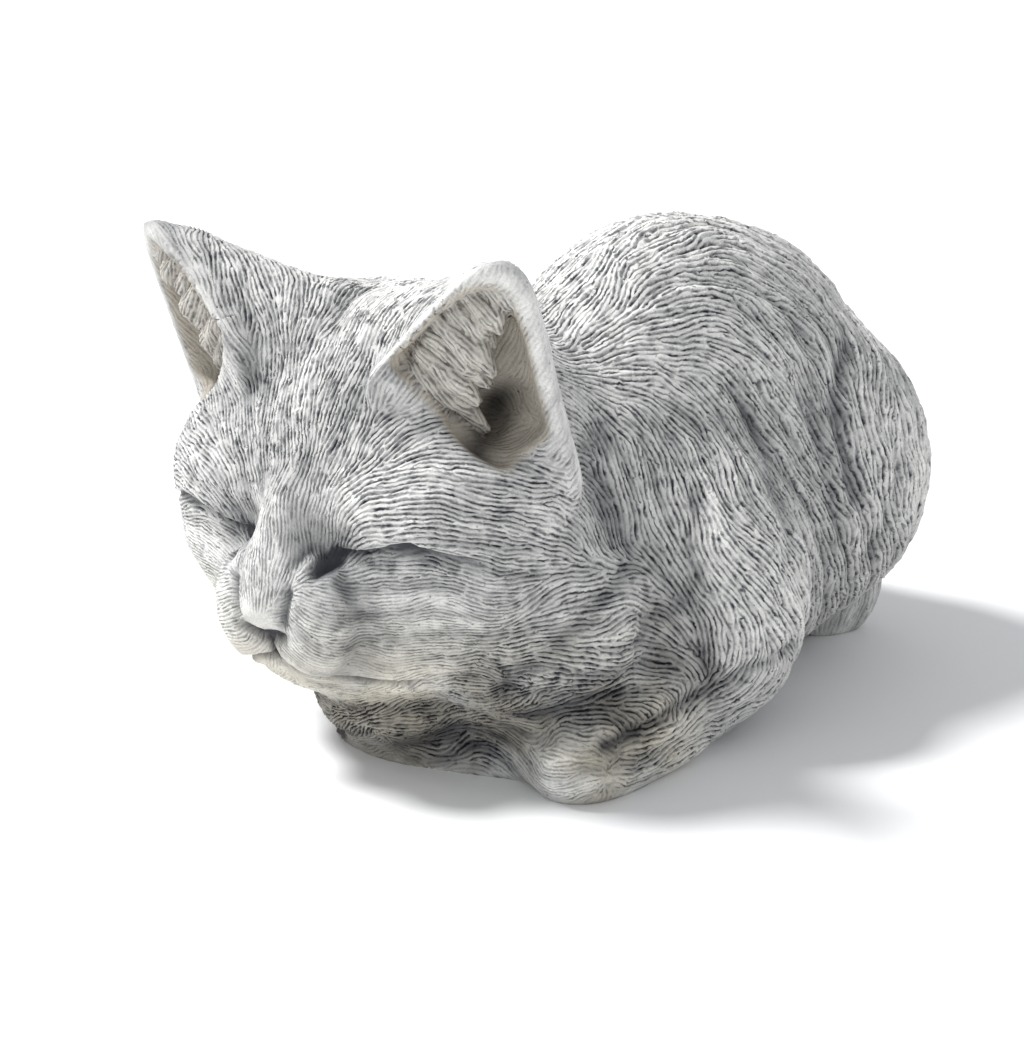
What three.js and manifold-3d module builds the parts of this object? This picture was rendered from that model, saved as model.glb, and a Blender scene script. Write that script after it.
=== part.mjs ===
import * as THREE from "three";
import { mergeVertices } from "three/addons/utils/BufferGeometryUtils.js";
import Module from "manifold-3d";

// A sleeping cat, one cast block. Millimetres, +Z up, the cat lies along Y and faces -Y.
// Its left side is +X. Every mass is an ellipsoid: its centre, its half sizes, its turn about
// Z, X and Y in degrees, and how wide it blends into the masses before it.
const BODY = {
  trunk: { at: [-4, 26.4, 74.3], half: [55.6, 81.7, 102] },
  rump: { at: [-6, 74.2, 79.7], half: [60.8, 60.5, 82.7], blend: 30 },
  shoulders: { at: [-12.7, -36, 59.7], half: [59.8, 59.3, 73.1], blend: 30 },
  bellyLeft: { at: [14, 39.1, 60], half: [47, 42.2, 56.5], blend: 20 },
  bellyRight: { at: [-30, 44, 52], half: [46, 46, 54], blend: 20 },
  haunchLeft: { at: [29.3, 88.4, 74], half: [41.4, 46.2, 56], blend: 14 },
  haunchRight: { at: [-42, 88, 60], half: [32, 46, 56], blend: 14 },
  footLeft: { at: [28.7, 109.4, 20.5], half: [9.1, 21.3, 25], turn: [-20, 0, 0], blend: 10 },
  ruff: { at: [14.1, -61.8, 52.2], half: [46, 39.9, 37.9], blend: 12 },
  upperArmLeft: { at: [49, 1.7, 56.8], half: [29.9, 35.3, 51], turn: [0, 0, 12], blend: 12 },
  forearmLeft: { at: [53.6, -42, 14.2], half: [17, 46.2, 19.3], blend: 12 },
  pawLeft: { at: [47, -64.4, 6.2], half: [15, 18.9, 16.1], blend: 12 },
  chest: { at: [4.6, -65, 25], half: [43.3, 22.5, 33.3], blend: 12 },
  pawRight: { at: [-18.2, -92.8, 20.6], half: [26.8, 23.4, 14.5], turn: [20, 0, 0], blend: 8 },
  upperArmRight: { at: [-54, -8, 50], half: [22, 32, 50], turn: [0, 0, -10], blend: 12 },
  footing: { at: [-8.1, -67.8, 0], half: [50.1, 30.9, 7], turn: [25, 0, 0], blend: 14 },
};

// The tail lies along the right side: its centre line, from the root to the tip, and its radii.
const TAIL = {
  line: [
    [-20, 120, 15],
    [-58, 112, 14],
    [-76, 64, 12.5],
    [-73, 16, 12],
    [-66, -26, 9],
  ],
  root: 15,
  tip: 8,
  steps: 10,
  blend: 8,
};

// The head has its own frame: X to the cat's left, +Y to the back of the head, the origin under
// the nose. Masses with pair are on both sides of the face.
const HEAD = { at: [-20, -149, 57], turn: 10.5, blend: 12 };
const FACE = {
  skull: { at: [0, 77.1, 53.8], half: [69.5, 53.9, 50.8] },
  cheek: { at: [39.9, 58.4, 37.4], half: [37.4, 33.3, 29.8], blend: 20, pair: true },
  jaw: { at: [39.4, 57, -2.8], half: [25.8, 20.3, 16.4], blend: 12, pair: true },
  cheekRuff: { at: [54, 72, 16], half: [22, 26, 22], blend: 10, pair: true },
  noseBridge: { at: [0, 25.9, 26.6], half: [11.5, 21, 25], turn: [0, -20, 0], blend: 14 },
  lip: { at: [27.7, 38.8, 6.7], half: [21.1, 16.7, 17.9], blend: 14, pair: true },
  brow: { at: [33.5, 36.3, 40.5], half: [25, 16, 13], blend: 14, pair: true },
  lowerLid: { at: [42, 44.8, 15.5], half: [26, 17, 12], blend: 16, pair: true },
  chin: { at: [0, 30.6, -15.4], half: [22.6, 13.8, 12.9], blend: 10 },
  jowl: { at: [23.2, 42.6, -12.8], half: [20, 18, 14], blend: 12, pair: true },
  whiskerPad: { at: [11.9, 13, 4.7], half: [14.6, 9.6, 19.2], blend: 13, pair: true },
  noseTip: { at: [0, 9.5, 8.5], half: [7.5, 9, 7], turn: [0, -10, 0], blend: 7 },
};

// The ear is a hollow leaf between three corners of its rim, with a root on the skull.
const EAR = {
  inner: [38, 30.7, 84.5],
  tip: [73.2, 34, 118.9],
  outer: [74.2, 56.6, 60.7],
  swell: [8, 9, 14],
  corner: 26,
  reach: 20,
  depth: 15,
  wall: 7,
  rays: 24,
  rings: 12,
};
const EAR_ROOT = { from: [18, 56, 90], to: [60, 45, 112], radii: [17, 7], blend: 10 };

// The closed eye: a slit between the inner and the outer corner, sagging between them.
const EYE = { inner: 17, outer: 56, height: 29, sag: 2, drop: 4, wide: 2.6, deep: 2.6 };
const MOUTH = { outer: 34, height: -7, rise: 5, wide: 3, deep: 2.5 };
// How far back from the nose the slits are cut.
const FACE_DEEP = 60;

// The mesh is finer between the limits of the face than over the rest of the figure.
const STEP = { fine: 5.8, coarse: 12 };
const BLOCK = { min: [-125, -170, -18], max: [100, 160, 200] };
const FACE_BLOCK = { min: [-72, -170, 36], max: [24, -92, 98] };
const UNDER = 5;
const GROUND = { wide: 600, deep: 100 };
const FILL = 0.05;
const STONE = 0xb9b8b4;

const radians = THREE.MathUtils.degToRad;

// The lower of two distances, rounded over the width k where they meet.
function blended(a, b, k) {
  const h = THREE.MathUtils.clamp(0.5 + (0.5 * (b - a)) / k, 0, 1);
  return b + (a - b) * h - k * h * (1 - h);
}

const higher = (a, b, k) => -blended(-a, -b, k);

// Distance to an ellipsoid, close to true near its surface.
function mass({ at, half, turn = [0, 0, 0], blend = 0, pair = false }) {
  const [yaw, pitch, roll] = turn.map(radians);
  return {
    blend,
    distance([px, py, pz]) {
      const dx = (pair ? Math.abs(px) : px) - at[0];
      const dy = py - at[1];
      const dz = pz - at[2];
      const x1 = dx * Math.cos(yaw) + dy * Math.sin(yaw);
      const y1 = dy * Math.cos(yaw) - dx * Math.sin(yaw);
      const y = y1 * Math.cos(pitch) + dz * Math.sin(pitch);
      const z1 = dz * Math.cos(pitch) - y1 * Math.sin(pitch);
      const x = x1 * Math.cos(roll) + z1 * Math.sin(roll);
      const z = z1 * Math.cos(roll) - x1 * Math.sin(roll);
      const near = Math.hypot(x / half[0], y / half[1], z / half[2]);
      const slope = Math.hypot(x / half[0] ** 2, y / half[1] ** 2, z / half[2] ** 2);
      return (near * (near - 1)) / Math.max(slope, 1e-6);
    },
  };
}

// Distance to a rod between two points whose radius changes along it.
function rod([px, py, pz], a, b, ra, rb) {
  const d = [b[0] - a[0], b[1] - a[1], b[2] - a[2]];
  const along = (px - a[0]) * d[0] + (py - a[1]) * d[1] + (pz - a[2]) * d[2];
  const t = THREE.MathUtils.clamp(along / (d[0] ** 2 + d[1] ** 2 + d[2] ** 2), 0, 1);
  const gap = Math.hypot(px - a[0] - t * d[0], py - a[1] - t * d[1], pz - a[2] - t * d[2]);
  return gap - ra - (rb - ra) * t;
}

const joined = (masses, p) =>
  masses.reduce(
    (sum, m) => (sum === null ? m.distance(p) : blended(sum, m.distance(p), m.blend)),
    null,
  );

const bodyMasses = Object.values(BODY).map(mass);
const faceMasses = Object.values(FACE).map(mass);

const tailCurve = new THREE.CatmullRomCurve3(TAIL.line.map((p) => new THREE.Vector3(...p)));
const tailPoints = tailCurve.getPoints(TAIL.steps).map((v) => v.toArray());
const tailRadius = (i) => THREE.MathUtils.lerp(TAIL.root, TAIL.tip, (i / TAIL.steps) ** 2);

function tail(p) {
  const links = tailPoints
    .slice(1)
    .map((b, i) => rod(p, tailPoints[i], b, tailRadius(i), tailRadius(i + 1)));
  return Math.min(...links);
}

// A point of the figure in the frame of the head.
function inHead([x, y, z]) {
  const a = radians(HEAD.turn);
  const dx = x - HEAD.at[0];
  const dy = y - HEAD.at[1];
  return [
    dx * Math.cos(a) + dy * Math.sin(a),
    dy * Math.cos(a) - dx * Math.sin(a),
    z - HEAD.at[2],
  ];
}

// The ear's own axes: across from the inner to the outer corner, up towards the tip, and out of
// the opening.
const earOrigin = new THREE.Vector3(...EAR.inner);
const earToTip = new THREE.Vector3(...EAR.tip).sub(earOrigin);
const earAcross = new THREE.Vector3(...EAR.outer).sub(earOrigin);
const earWidth = earAcross.length();
earAcross.normalize();
const earUp = earToTip.clone().addScaledVector(earAcross, -earToTip.dot(earAcross)).normalize();
const earOut = new THREE.Vector3().crossVectors(earAcross, earUp);
const earCorners = [
  [0, 0],
  [earToTip.dot(earAcross), earToTip.dot(earUp)],
  [earWidth, 0],
];
const earMiddle = [0, 1].map((i) => earCorners.reduce((sum, c) => sum + c[i], 0) / 3);

// Distance over the leaf's edge from one corner to the next, swelled outwards.
function earEdge(u, w, from, to, swell) {
  const length = Math.hypot(to[0] - from[0], to[1] - from[1]);
  const normal = [(to[1] - from[1]) / length, (from[0] - to[0]) / length];
  const side = (earMiddle[0] - from[0]) * normal[0] + (earMiddle[1] - from[1]) * normal[1];
  const over = (u - from[0]) * normal[0] + (w - from[1]) * normal[1];
  return (side > 0 ? -over : over) - swell;
}

// Distance over the edge of the leaf, at a point of its plane.
function leaf(u, w) {
  const [inner, tip, outer] = earCorners;
  const sides = higher(
    earEdge(u, w, inner, tip, EAR.swell[0]),
    earEdge(u, w, tip, outer, EAR.swell[1]),
    EAR.corner,
  );
  return higher(sides, earEdge(u, w, outer, inner, EAR.swell[2]), EAR.corner / 2);
}

// A lens over the leaf, drawn in from its edge by inset and as deep as depth. Its points are
// found along rays from the leaf's middle; half keeps only what lies behind the leaf's plane.
function lens(inset, depth, half, side) {
  const reach = EAR.reach - inset;
  const over = (ray, t) => {
    const edge = leaf(earMiddle[0] + ray[0] * t, earMiddle[1] + ray[1] * t) + inset;
    return Math.hypot(Math.max(1 + edge / reach, 0), (ray[2] * t) / depth) - 1;
  };
  const pointAlong = (ray) => {
    let [near, far] = [0, 3 * earWidth];
    for (let pass = 0; pass < 30; pass++) {
      const t = (near + far) / 2;
      if (over(ray, t) < 0) near = t;
      else far = t;
    }
    const [u, w, v] = ray.map((r) => r * near);
    return new THREE.Vector3()
      .copy(earOrigin)
      .addScaledVector(earAcross, earMiddle[0] + u)
      .addScaledVector(earUp, earMiddle[1] + w)
      .addScaledVector(earOut, half ? Math.min(v, 0) : v);
  };
  const ball = new THREE.SphereGeometry(1, EAR.rays, EAR.rings, 0, 2 * Math.PI, 0, Math.PI);
  const shape = mergeVertices(
    new THREE.BufferGeometry()
      .setAttribute("position", ball.getAttribute("position"))
      .setIndex(ball.index),
    1e-4,
  );
  const points = shape.getAttribute("position");
  for (let i = 0; i < points.count; i++) {
    const ray = [points.getX(i), points.getZ(i), points.getY(i)];
    const flat = half && ray[2] > 1e-3;
    const p = pointAlong(flat ? [ray[0], ray[1], 0] : ray);
    if (flat) p.lerp(pointAlong([0, 0, 0]), ray[2]);
    points.setXYZ(i, side * p.x, p.y, p.z);
  }
  const turned = new THREE.Matrix4()
    .makeRotationZ(radians(HEAD.turn))
    .setPosition(...HEAD.at);
  shape.applyMatrix4(turned);
  if (side > 0) {
    const faces = shape.index.array;
    for (let i = 0; i < faces.length; i += 3)
      [faces[i], faces[i + 1]] = [faces[i + 1], faces[i]];
  }
  return solidOf(shape);
}

// How deep the slits of the face are at a point of the head.
function faceCut([x, y, z]) {
  if (y > FACE_DEEP) return 0;
  const side = Math.abs(x);
  const across = (side - EYE.inner) / (EYE.outer - EYE.inner);
  const lid = EYE.height - EYE.sag * Math.sin(Math.PI * across) - EYE.drop * across ** 2;
  const slit = across < 0 || across > 1 ? 0 : Math.exp(-(((z - lid) / EYE.wide) ** 2));
  const lip = MOUTH.height - MOUTH.rise * (1 - side / MOUTH.outer) ** 2;
  const mouth = side > MOUTH.outer ? 0 : Math.exp(-(((z - lip) / MOUTH.wide) ** 2));
  return EYE.deep * slit + MOUTH.deep * mouth;
}

// Distance from a point to the figure without its ears, less than nothing inside it.
function figure(p) {
  const q = inHead(p);
  const torso = blended(joined(bodyMasses, p), tail(p), TAIL.blend);
  const side = [Math.abs(q[0]), q[1], q[2]];
  const earRoot = rod(side, EAR_ROOT.from, EAR_ROOT.to, ...EAR_ROOT.radii);
  const head = blended(joined(faceMasses, q), earRoot, EAR_ROOT.blend);
  return higher(blended(torso, head, HEAD.blend) + faceCut(q), -UNDER - p[2], 1);
}

function spaced(from, to, step) {
  const n = Math.ceil((to - from) / step);
  return Array.from({ length: n + 1 }, (_, i) => from + ((to - from) * i) / n);
}

const lines = [0, 1, 2].map((axis) => {
  const [start, end] = [FACE_BLOCK.min[axis], FACE_BLOCK.max[axis]];
  const before = start > BLOCK.min[axis] ? spaced(BLOCK.min[axis], start, STEP.coarse).slice(0, -1) : [];
  const after = spaced(end, BLOCK.max[axis], STEP.coarse).slice(1);
  return [...before, ...spaced(start, end, STEP.fine), ...after];
});

// Moves a point along the slope of the distance until it lies on the surface.
function settled(point) {
  const p = [...point];
  const h = 0.4;
  for (let pass = 0; pass < 3; pass++) {
    const here = figure(p);
    const slope = [0, 1, 2].map((i) => {
      const ahead = [...p];
      const behind = [...p];
      ahead[i] += h;
      behind[i] -= h;
      return (figure(ahead) - figure(behind)) / (2 * h);
    });
    const steep = Math.max(slope[0] ** 2 + slope[1] ** 2 + slope[2] ** 2, 0.2);
    const move = THREE.MathUtils.clamp(here / steep, -2, 2);
    slope.forEach((s, i) => (p[i] -= move * s));
  }
  return p;
}

const CORNERS = [0, 1, 2, 3, 4, 5, 6, 7];
const CELL_EDGES = CORNERS.flatMap((a) =>
  [1, 2, 4].filter((bit) => !(a & bit)).map((bit) => [a, a | bit]),
);

// Whether the corners of a cell that pass the test hang together along the cell's edges.
function inOneGroup(test) {
  const kept = CORNERS.filter(test);
  const reached = new Set(kept.slice(0, 1));
  CORNERS.forEach(() =>
    CELL_EDGES.forEach(([a, b]) => {
      if (test(a) && test(b) && (reached.has(a) || reached.has(b))) reached.add(a).add(b);
    }),
  );
  return reached.size === kept.length;
}

// Fills the outer corner nearest the surface in each cell that two sheets of surface cross, so
// that one sheet is left there.
function untangle(values, counts, at) {
  let changed = true;
  while (changed) {
    changed = false;
    for (let i = 0; i < counts[0] - 1; i++)
      for (let j = 0; j < counts[1] - 1; j++)
        for (let k = 0; k < counts[2] - 1; k++) {
          const place = CORNERS.map((c) => at(i + (c & 1), j + ((c >> 1) & 1), k + ((c >> 2) & 1)));
          const inside = (c) => values[place[c]] < 0;
          if (inOneGroup(inside) && inOneGroup((c) => !inside(c))) continue;
          const outer = CORNERS.filter((c) => !inside(c)).map((c) => place[c]);
          outer.sort((a, b) => values[a] - values[b]);
          values[outer[0]] = -FILL;
          changed = true;
        }
  }
}

// One vertex in every cell that the surface crosses, and a quad round every crossed edge.
function surfaceOf(distance, [xs, ys, zs]) {
  const counts = [xs.length, ys.length, zs.length];
  const at = (i, j, k) => (i * counts[1] + j) * counts[2] + k;
  const values = new Float64Array(counts[0] * counts[1] * counts[2]);
  xs.forEach((x, i) =>
    ys.forEach((y, j) => zs.forEach((z, k) => (values[at(i, j, k)] = distance([x, y, z])))),
  );
  const positions = [];
  const vertexOf = new Map();
  untangle(values, counts, at);
  const corners = CORNERS.map((c) => [c & 1, (c >> 1) & 1, (c >> 2) & 1]);
  const edges = CELL_EDGES.map(([a, b]) => [corners[a], corners[b]]);
  const inCell = (i, j, k) => {
    const key = at(i, j, k);
    if (!vertexOf.has(key)) {
      const sum = [0, 0, 0, 0];
      edges.forEach(([a, b]) => {
        const va = values[at(i + a[0], j + a[1], k + a[2])];
        const vb = values[at(i + b[0], j + b[1], k + b[2])];
        if (va < 0 === vb < 0) return;
        const t = va / (va - vb);
        [xs[i + a[0]], ys[j + a[1]], zs[k + a[2]]].forEach((start, axis) => {
          const end = [xs[i + b[0]], ys[j + b[1]], zs[k + b[2]]][axis];
          sum[axis] += start + t * (end - start);
        });
        sum[3] += 1;
      });
      vertexOf.set(key, positions.length / 3);
      positions.push(...settled(sum.slice(0, 3).map((s) => s / sum[3])));
    }
    return vertexOf.get(key);
  };
  const faces = [];
  const quad = (a, b, c, d, inward) => {
    const ring = inward ? [a, b, c, d] : [d, c, b, a];
    const v = ring.map((n) => new THREE.Vector3().fromArray(positions, 3 * n));
    const split = v[0].distanceTo(v[2]) <= v[1].distanceTo(v[3]) ? [0, 1, 2, 0, 2, 3] : [1, 2, 3, 1, 3, 0];
    faces.push(...split.map((n) => ring[n]));
  };
  for (let i = 1; i < counts[0] - 1; i++)
    for (let j = 1; j < counts[1] - 1; j++)
      for (let k = 1; k < counts[2] - 1; k++) {
        const here = values[at(i, j, k)] < 0;
        if (here !== values[at(i + 1, j, k)] < 0)
          quad(inCell(i, j - 1, k - 1), inCell(i, j, k - 1), inCell(i, j, k), inCell(i, j - 1, k), here);
        if (here !== values[at(i, j + 1, k)] < 0)
          quad(inCell(i - 1, j, k - 1), inCell(i - 1, j, k), inCell(i, j, k), inCell(i, j, k - 1), here);
        if (here !== values[at(i, j, k + 1)] < 0)
          quad(inCell(i - 1, j - 1, k), inCell(i, j - 1, k), inCell(i, j, k), inCell(i - 1, j, k), here);
      }
  return new THREE.BufferGeometry()
    .setAttribute("position", new THREE.Float32BufferAttribute(positions, 3))
    .setIndex(faces);
}

const wasm = await Module();
wasm.setup();

function solidOf(geometry) {
  const bare = new THREE.BufferGeometry()
    .setAttribute("position", geometry.getAttribute("position"))
    .setIndex(geometry.index);
  const merged = mergeVertices(bare, 1e-4);
  return new wasm.Manifold(
    new wasm.Mesh({
      numProp: 3,
      vertProperties: new Float32Array(merged.attributes.position.array),
      triVerts: new Uint32Array(merged.index.array),
    }),
  );
}

function geometryOf(solid) {
  const mesh = solid.getMesh();
  return new THREE.BufferGeometry()
    .setAttribute("position", new THREE.BufferAttribute(mesh.vertProperties, 3))
    .setIndex(new THREE.BufferAttribute(mesh.triVerts, 1));
}

// The ground the cat lies on, taken off so that the underside is flat.
const ground = new THREE.BoxGeometry(GROUND.wide, GROUND.wide, GROUND.deep).translate(
  0,
  0,
  -GROUND.deep / 2,
);
const sides = [1, -1];
const eared = sides.reduce(
  (solid, side) => solid.add(lens(0, EAR.depth + EAR.wall, true, side)),
  solidOf(surfaceOf(figure, lines)),
);
const hollowed = sides.reduce(
  (solid, side) => solid.subtract(lens(EAR.wall, EAR.depth, false, side)),
  eared,
);
const cast = geometryOf(hollowed.subtract(solidOf(ground)));

// The origin is the middle of the underside of the figure's box.
cast.computeBoundingBox();
const { min, max } = cast.boundingBox;
cast.translate(-(min.x + max.x) / 2, -(min.y + max.y) / 2, -min.z);

const material = new THREE.MeshStandardMaterial({ color: STONE, roughness: 0.95, flatShading: true });
const cat = new THREE.Mesh(cast.toNonIndexed(), material);
cat.name = "cat";
cat.geometry.computeVertexNormals();

const root = new THREE.Group();
root.add(cat);
export default root;
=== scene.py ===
"""The looks of a sleeping cat cast in concrete: its carved fur, face and ears, its stone and its light."""

import math

import bpy
import numpy as np
from mathutils.kdtree import KDTree
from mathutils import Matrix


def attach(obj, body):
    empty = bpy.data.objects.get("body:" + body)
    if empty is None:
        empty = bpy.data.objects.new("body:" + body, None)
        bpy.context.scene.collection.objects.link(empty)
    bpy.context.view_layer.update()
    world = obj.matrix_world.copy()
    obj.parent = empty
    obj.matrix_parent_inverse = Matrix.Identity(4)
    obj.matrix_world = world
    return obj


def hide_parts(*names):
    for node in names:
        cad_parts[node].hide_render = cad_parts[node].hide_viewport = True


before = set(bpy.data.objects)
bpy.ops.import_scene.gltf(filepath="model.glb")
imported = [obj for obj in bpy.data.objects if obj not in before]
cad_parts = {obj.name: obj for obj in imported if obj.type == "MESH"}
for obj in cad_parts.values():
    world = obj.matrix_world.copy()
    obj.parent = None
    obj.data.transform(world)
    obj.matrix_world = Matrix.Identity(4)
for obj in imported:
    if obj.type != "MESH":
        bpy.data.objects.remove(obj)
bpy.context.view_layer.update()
RNG = np.random.default_rng(7)

# The figure is in millimetres, in the frame of its own masses. ORIGIN is added to reach the row frame,
# and EYE_POINT is where the camera stands.
ORIGIN = np.array([16.0, 6.96, 0.0])
EYE_POINT = np.array([399.4, -450.8, 265.0])

# Each mass: centre, half sizes, turn about Z, X and Y in degrees, width of its blend.
BODY = {
    "trunk": ((-4, 26.4, 74.3), (55.6, 81.7, 102), (0, 0, 0), 1),
    "rump": ((-6, 74.2, 79.7), (60.8, 60.5, 82.7), (0, 0, 0), 30),
    "shoulders": ((-12.7, -36, 59.7), (59.8, 59.3, 73.1), (0, 0, 0), 30),
    "belly_left": ((14, 39.1, 60), (47, 42.2, 56.5), (0, 0, 0), 20),
    "belly_right": ((-30, 44, 52), (46, 46, 54), (0, 0, 0), 20),
    "haunch_left": ((29.3, 88.4, 74), (41.4, 46.2, 56), (0, 0, 0), 14),
    "haunch_right": ((-42, 88, 60), (32, 46, 56), (0, 0, 0), 14),
    "foot_left": ((28.7, 109.4, 20.5), (9.1, 21.3, 25), (-20, 0, 0), 10),
    "ruff": ((14.1, -61.8, 52.2), (46, 39.9, 37.9), (0, 0, 0), 12),
    "upper_arm_left": ((49, 1.7, 56.8), (29.9, 35.3, 51), (0, 0, 12), 12),
    "forearm_left": ((53.6, -42, 14.2), (17, 46.2, 19.3), (0, 0, 0), 12),
    "paw_left": ((47, -64.4, 6.2), (15, 18.9, 16.1), (0, 0, 0), 12),
    "chest": ((4.6, -65, 25), (43.3, 22.5, 33.3), (0, 0, 0), 12),
    "paw_right": ((-18.2, -92.8, 20.6), (26.8, 23.4, 14.5), (20, 0, 0), 8),
    "upper_arm_right": ((-54, -8, 50), (22, 32, 50), (0, 0, -10), 12),
    "footing": ((-8.1, -67.8, 0), (50.1, 30.9, 7), (25, 0, 0), 14),
}
TAIL = {"line": [(-20, 120, 15), (-58, 112, 14), (-76, 64, 12.5), (-73, 16, 12), (-66, -26, 9)],
        "root": 15, "tip": 8, "steps": 10, "blend": 8}
HEAD = {"at": (-20, -149, 57), "turn": 10.5, "blend": 12}
FACE = {
    "skull": ((0, 77.1, 53.8), (69.5, 53.9, 50.8), (0, 0, 0), 1),
    "cheek": ((39.9, 58.4, 37.4), (37.4, 33.3, 29.8), (0, 0, 0), 20),
    "jaw": ((39.4, 57, -2.8), (25.8, 20.3, 16.4), (0, 0, 0), 12),
    "cheek_ruff": ((54, 72, 16), (22, 26, 22), (0, 0, 0), 10),
    "nose_bridge": ((0, 25.9, 26.6), (11.5, 21, 25), (0, -20, 0), 14),
    "lip": ((27.7, 38.8, 6.7), (21.1, 16.7, 17.9), (0, 0, 0), 14),
    "brow": ((33.5, 36.3, 40.5), (25, 16, 13), (0, 0, 0), 14),
    "lower_lid": ((42, 44.8, 15.5), (26, 17, 12), (0, 0, 0), 16),
    "chin": ((0, 30.6, -15.4), (22.6, 13.8, 12.9), (0, 0, 0), 10),
    "jowl": ((23.2, 42.6, -12.8), (20, 18, 14), (0, 0, 0), 12),
    "whisker_pad": ((11.9, 13, 4.7), (14.6, 9.6, 19.2), (0, 0, 0), 13),
    "nose_tip": ((0, 9.5, 8.5), (7.5, 9, 7), (0, -10, 0), 7),
}
PAIRED = ("cheek", "jaw", "cheek_ruff", "lip", "brow", "lower_lid", "whisker_pad", "jowl")
EAR = {"inner": (38, 30.7, 84.5), "tip": (73.2, 34, 118.9), "outer": (74.2, 56.6, 60.7),
       "swell": (8, 9, 14), "corner": 26, "reach": 20, "depth": 15, "wall": 7, "blend": 7,
       "inset": (-4, 0, -1), "roll": 4,
       "sill": [((-3, 3), (38, -11)), ((40, -10), (53, 14))],
       "pit": ((32, -3, -10), (6.5, 14, 9), (-12, 0, 0))}
EAR_ROOT = {"from": (18, 56, 90), "to": (60, 45, 112), "radii": (17, 7), "blend": 10}


def lower(a, b, k):
    """The lower of a and b, rounded over the width k.
    It is b + (a - b) h - k h (1 - h), with h = 1/2 + (b - a) / 2k."""
    h = np.clip(0.5 + 0.5 * (b - a) / k, 0, 1)
    return b + (a - b) * h - k * h * (1 - h)


def higher(a, b, k):
    """The higher of a and b, rounded over the width k."""
    return -lower(-a, -b, k)


def ellipsoid(p, at, half, turn):
    """Distance to an ellipsoid, n (n - 1) / s, with n = |q / r| and s = |q / r^2| for the turned point q."""
    x, y, z = (p - np.array(at, p.dtype)).T
    yaw, pitch, roll = np.radians(turn)
    x, y = x * np.cos(yaw) + y * np.sin(yaw), y * np.cos(yaw) - x * np.sin(yaw)
    y, z = y * np.cos(pitch) + z * np.sin(pitch), z * np.cos(pitch) - y * np.sin(pitch)
    x, z = x * np.cos(roll) + z * np.sin(roll), z * np.cos(roll) - x * np.sin(roll)
    x, y, z = x / half[0], y / half[1], z / half[2]
    near = np.sqrt(x * x + y * y + z * z)
    slope = np.sqrt((x / half[0]) ** 2 + (y / half[1]) ** 2 + (z / half[2]) ** 2)
    return near * (near - 1) / np.maximum(slope, 1e-6)


def rod(p, a, b, ra, rb):
    """Distance to the line a to b, less a radius that goes from ra to rb along it."""
    a, d = np.array(a, float), np.subtract(b, a).astype(float)
    t = np.clip((p - a) @ d / (d @ d), 0, 1)
    return np.linalg.norm(p - a - t[:, None] * d, axis=1) - ra - (rb - ra) * t


def joined(p, masses, paired=()):
    """Distance to all the masses, blended one after another, the paired ones on both sides."""
    side = p * [1, 1, 1]
    side[:, 0] = np.abs(side[:, 0])
    total = None
    for name, (at, half, turn, blend) in masses.items():
        d = ellipsoid(side if name in paired else p, at, half, turn)
        total = d if total is None else lower(total, d, blend)
    return total


def catmull(points, steps):
    """Points of a curve through the given ones, evenly spaced in its parameter."""
    pts = np.array(points, float)
    pts = np.vstack([2 * pts[0] - pts[1], pts, 2 * pts[-1] - pts[-2]])
    t = np.linspace(0, len(pts) - 3, steps + 1)
    i = np.minimum(t.astype(int), len(pts) - 4)
    s = (t - i)[:, None]
    a, b, c, d = (pts[i + n] for n in range(4))
    return 0.5 * (2 * b + (c - a) * s + (2 * a - 5 * b + 4 * c - d) * s**2 + (3 * b - a - 3 * c + d) * s**3)


TAIL_POINTS = catmull(TAIL["line"], TAIL["steps"])
TAIL_RADII = TAIL["root"] + (TAIL["tip"] - TAIL["root"]) * np.linspace(0, 1, TAIL["steps"] + 1) ** 2


def tail(p):
    links = zip(TAIL_POINTS, TAIL_POINTS[1:], TAIL_RADII, TAIL_RADII[1:])
    return np.min([rod(p, a, b, ra, rb) for a, b, ra, rb in links], axis=0)


def in_head(p):
    a = math.radians(HEAD["turn"])
    x, y, z = (p - HEAD["at"]).T
    return np.stack([x * math.cos(a) + y * math.sin(a), y * math.cos(a) - x * math.sin(a), z], 1)


def from_head(v, point=True):
    a = math.radians(HEAD["turn"])
    x, y, z = np.asarray(v, float).T
    out = np.stack([x * math.cos(a) - y * math.sin(a), y * math.cos(a) + x * math.sin(a), z], 1)
    return out + HEAD["at"] if point else out


def ear_axes():
    origin = np.array(EAR["inner"], float)
    to_tip = np.array(EAR["tip"], float) - origin
    across = np.array(EAR["outer"], float) - origin
    width = np.linalg.norm(across)
    across /= width
    up = to_tip - across * (to_tip @ across)
    up /= np.linalg.norm(up)
    corners = np.array([(0, 0), (to_tip @ across, to_tip @ up), (width, 0)])
    return origin, np.array([across, up, np.cross(across, up)]), corners


EAR_ORIGIN, EAR_AXES, EAR_CORNERS = ear_axes()


def ear_edge(u, w, start, end, swell):
    along = (end - start) / np.linalg.norm(end - start)
    normal = np.array([along[1], -along[0]])
    if (EAR_CORNERS.mean(0) - start) @ normal > 0:
        normal = -normal
    return (u - start[0]) * normal[0] + (w - start[1]) * normal[1] - swell


def ear_leaf(u, w, swell):
    a, b, c = EAR_CORNERS
    sides = higher(ear_edge(u, w, a, b, swell[0]), ear_edge(u, w, b, c, swell[1]), EAR["corner"])
    return higher(sides, ear_edge(u, w, c, a, swell[2]), EAR["corner"] / 2)


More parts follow.
